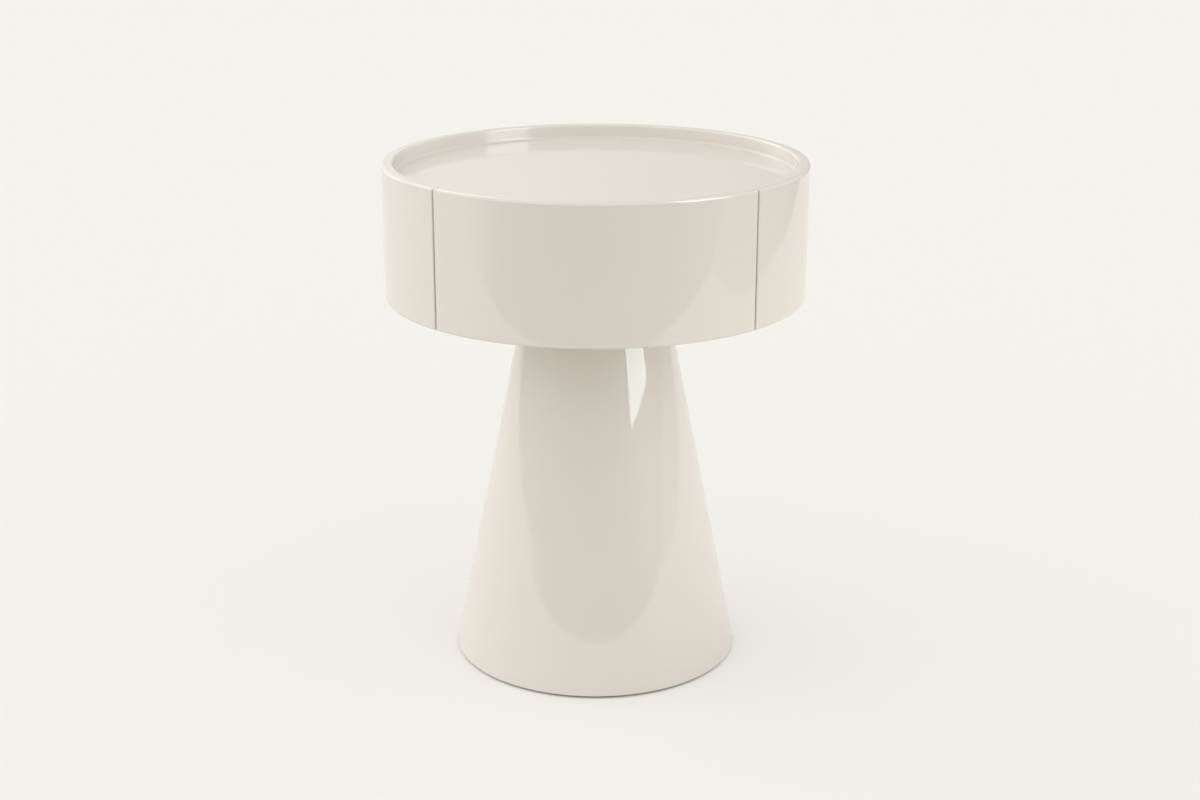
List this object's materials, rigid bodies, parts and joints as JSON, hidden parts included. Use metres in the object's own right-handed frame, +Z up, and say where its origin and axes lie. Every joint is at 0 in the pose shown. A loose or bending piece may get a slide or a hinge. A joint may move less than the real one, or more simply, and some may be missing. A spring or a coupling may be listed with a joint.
{
  "type": "round pedestal nightstand",
  "caption": "Gloss-lacquered round nightstand: a drum with a sunken tray top and a curved drawer without a handle, on a truncated-cone pedestal.",
  "frame": {"origin": "on the floor, on the upright axis of the drum and the cone", "axes": "+Z up; the drawer opens towards -Y; +X is to the right of someone facing the drawer"},
  "size_m": [0.457, 0.457, 0.559],
  "materials": {
    "lacquer": "gloss polyurethane lacquer, warm ivory, on fibreboard",
    "birch_plywood": "clear-coated birch plywood",
    "fibreboard": "raw fibreboard",
    "zinc_steel": "zinc-plated steel",
    "nylon": "grey nylon",
    "bumper_rubber": "translucent soft rubber"
  },
  "bodies": {
    "cabinet": {"drum_shell": "lacquer", "tray_top": "lacquer", "drum_bottom": "lacquer", "pedestal_cone": "lacquer", "left_upright": "fibreboard", "right_upright": "fibreboard", "pedestal_top_plate": "fibreboard", "pedestal_base_plate": "fibreboard", "foot_glide_1": "nylon", "foot_glide_2": "nylon", "foot_glide_3": "nylon", "foot_glide_4": "nylon", "left_bumper": "bumper_rubber", "right_bumper": "bumper_rubber", "pedestal_bolt_1": "zinc_steel", "pedestal_bolt_2": "zinc_steel", "pedestal_bolt_3": "zinc_steel", "pedestal_bolt_4": "zinc_steel", "pedestal_washer_1": "zinc_steel", "pedestal_washer_2": "zinc_steel", "pedestal_washer_3": "zinc_steel", "pedestal_washer_4": "zinc_steel", "left_cabinet_rail": "zinc_steel", "right_cabinet_rail": "zinc_steel", "left_cabinet_rail_screw_front": "zinc_steel", "left_cabinet_rail_screw_rear": "zinc_steel", "right_cabinet_rail_screw_front": "zinc_steel", "right_cabinet_rail_screw_rear": "zinc_steel"},
    "drawer": {"drawer_front": "lacquer", "drawer_left_side": "birch_plywood", "drawer_right_side": "birch_plywood", "drawer_back": "birch_plywood", "drawer_bottom": "birch_plywood", "left_corner_block": "birch_plywood", "right_corner_block": "birch_plywood", "left_drawer_rail": "zinc_steel", "right_drawer_rail": "zinc_steel", "left_drawer_rail_screw_front": "zinc_steel", "left_drawer_rail_screw_rear": "zinc_steel", "right_drawer_rail_screw_front": "zinc_steel", "right_drawer_rail_screw_rear": "zinc_steel", "left_front_screw_lower": "zinc_steel", "left_front_screw_upper": "zinc_steel", "right_front_screw_lower": "zinc_steel", "right_front_screw_upper": "zinc_steel"},
    "left_middle": {"left_middle_rail": "zinc_steel"},
    "left_outer_cage": {"left_outer_ball_cage": "zinc_steel"},
    "left_inner_cage": {"left_inner_ball_cage": "zinc_steel"},
    "right_middle": {"right_middle_rail": "zinc_steel"},
    "right_outer_cage": {"right_outer_ball_cage": "zinc_steel"},
    "right_inner_cage": {"right_inner_ball_cage": "zinc_steel"}
  },
  "joints": [
    {"name": "drawer_slide", "type": "slide", "parent": "cabinet", "child": "drawer", "axis": [0, -1, 0], "range_m": [0, 0.22]},
    {"name": "left_middle_rail_slide", "type": "slide", "parent": "cabinet", "child": "left_middle", "axis": [0, -1, 0], "range_m": [0, 0.11]},
    {"name": "left_outer_cage_roll", "type": "slide", "parent": "cabinet", "child": "left_outer_cage", "axis": [0, -1, 0], "range_m": [0, 0.055]},
    {"name": "left_inner_cage_roll", "type": "slide", "parent": "left_middle", "child": "left_inner_cage", "axis": [0, -1, 0], "range_m": [0, 0.055]},
    {"name": "right_middle_rail_slide", "type": "slide", "parent": "cabinet", "child": "right_middle", "axis": [0, -1, 0], "range_m": [0, 0.11]},
    {"name": "right_outer_cage_roll", "type": "slide", "parent": "cabinet", "child": "right_outer_cage", "axis": [0, -1, 0], "range_m": [0, 0.055]},
    {"name": "right_inner_cage_roll", "type": "slide", "parent": "right_middle", "child": "right_inner_cage", "axis": [0, -1, 0], "range_m": [0, 0.055]}
  ],
  "couplings": [
    {"joint": "left_middle_rail_slide", "follows": "drawer_slide", "ratio": 0.5},
    {"joint": "left_outer_cage_roll", "follows": "drawer_slide", "ratio": 0.25},
    {"joint": "left_inner_cage_roll", "follows": "drawer_slide", "ratio": 0.25},
    {"joint": "right_middle_rail_slide", "follows": "drawer_slide", "ratio": 0.5},
    {"joint": "right_outer_cage_roll", "follows": "drawer_slide", "ratio": 0.25},
    {"joint": "right_inner_cage_roll", "follows": "drawer_slide", "ratio": 0.25}
  ]
}
